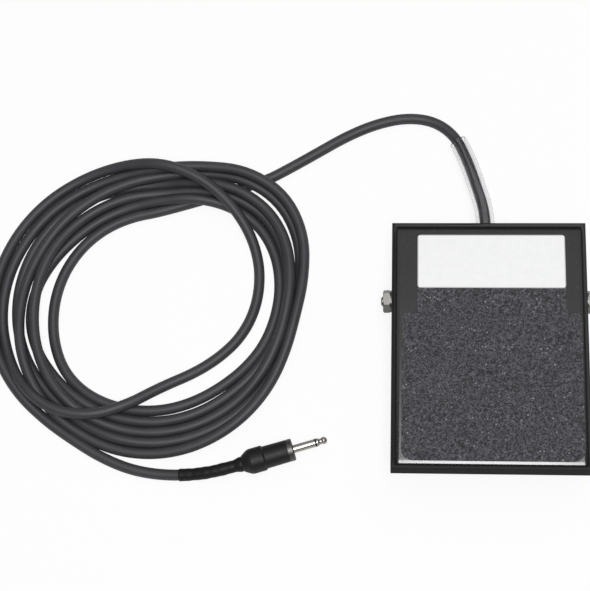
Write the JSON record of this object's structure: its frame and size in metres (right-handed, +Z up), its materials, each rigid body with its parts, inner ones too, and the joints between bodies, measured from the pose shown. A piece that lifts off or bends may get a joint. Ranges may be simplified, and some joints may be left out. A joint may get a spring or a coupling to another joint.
{
  "type": "foot switch",
  "caption": "Low steel foot switch with a hinged, padded tread over a folded pan, a sprung snap switch inside, and a long thin cord in a loose coil that ends in a small plug.",
  "frame": {"origin": "on the floor, under the middle of the tread cover's plan", "axes": "+Z up; -Y toward the toe end that is pressed; +Y toward the end where the cord leaves; +X along the pivot stud"},
  "size_m": [0.268, 0.1698, 0.0312],
  "materials": {
    "tread_paint": "satin black enamel",
    "pan_paint": "satin black enamel",
    "foot_rubber": "matte",
    "pad_rubber": "grained, with fine light specks",
    "label_film": "matte",
    "stud_steel": "bright zinc plate",
    "bush_nylon": "natural nylon",
    "spring_steel": "bright wire",
    "bracket_steel": "zinc plate",
    "switch_plastic": "moulded phenolic",
    "terminal_brass": "plain",
    "insulating_paper": "pressed fibre sheet",
    "relief_nylon": "matte",
    "cord_pvc": "matte jacket",
    "wire_pvc": "smooth",
    "clear_pvc": "clear soft tube",
    "plug_black": "satin",
    "shrink_black": "satin heat-shrink",
    "plug_chrome": "nickel plate",
    "plug_insulator": "gloss"
  },
  "bodies": {
    "base": {"base_pan": "pan_paint", "foot_front_left": "foot_rubber", "foot_front_right": "foot_rubber", "foot_rear_left": "foot_rubber", "foot_rear_right": "foot_rubber", "pivot_bush_left": "bush_nylon", "pivot_bush_right": "bush_nylon", "spring_post": "bracket_steel", "return_spring": "spring_steel", "switch_case": "switch_plastic", "switch_cover": "switch_plastic", "closed_terminal": "terminal_brass", "open_terminal": "terminal_brass", "common_terminal": "terminal_brass", "switch_bracket": "bracket_steel", "bracket_rivets": "bracket_steel", "switch_screws": "stud_steel", "switch_nuts": "stud_steel", "insulating_sheet": "insulating_paper", "strain_relief": "relief_nylon", "lead_common": "wire_pvc", "lead_open": "wire_pvc", "cord_lead": "cord_pvc", "cord_coil": "cord_pvc", "cord_tail": "cord_pvc", "bend_sleeve": "clear_pvc", "plug_sleeve": "shrink_black", "plug_handle": "plug_black", "plug_collar": "plug_chrome", "plug_barrel": "plug_chrome", "plug_ring": "plug_insulator", "plug_tip": "plug_chrome"},
    "tread": {"tread_cover": "tread_paint", "tread_pad": "pad_rubber", "label_plate": "label_film", "pivot_stud": "stud_steel", "pivot_nuts": "stud_steel", "stud_washers": "stud_steel", "spring_cap": "bush_nylon"},
    "plunger": {"plunger": "bush_nylon"}
  },
  "joints": [
    {"name": "tread_hinge", "type": "hinge", "parent": "base", "child": "tread", "pos_m": [0, 0.02078, 0.017], "axis": [1, 0, 0], "range_deg": [0, 3.7], "stiffness_Nm_per_rad": 5, "springref_deg": -2.86, "deforming": ["return_spring"]},
    {"name": "plunger_slide", "type": "slide", "parent": "base", "child": "plunger", "axis": [0, 0, -1], "range_m": [0, 0.00161]}
  ],
  "couplings": [
    {"joint": "plunger_slide", "follows": "tread_hinge", "m_per_rad": 0.0248}
  ]
}
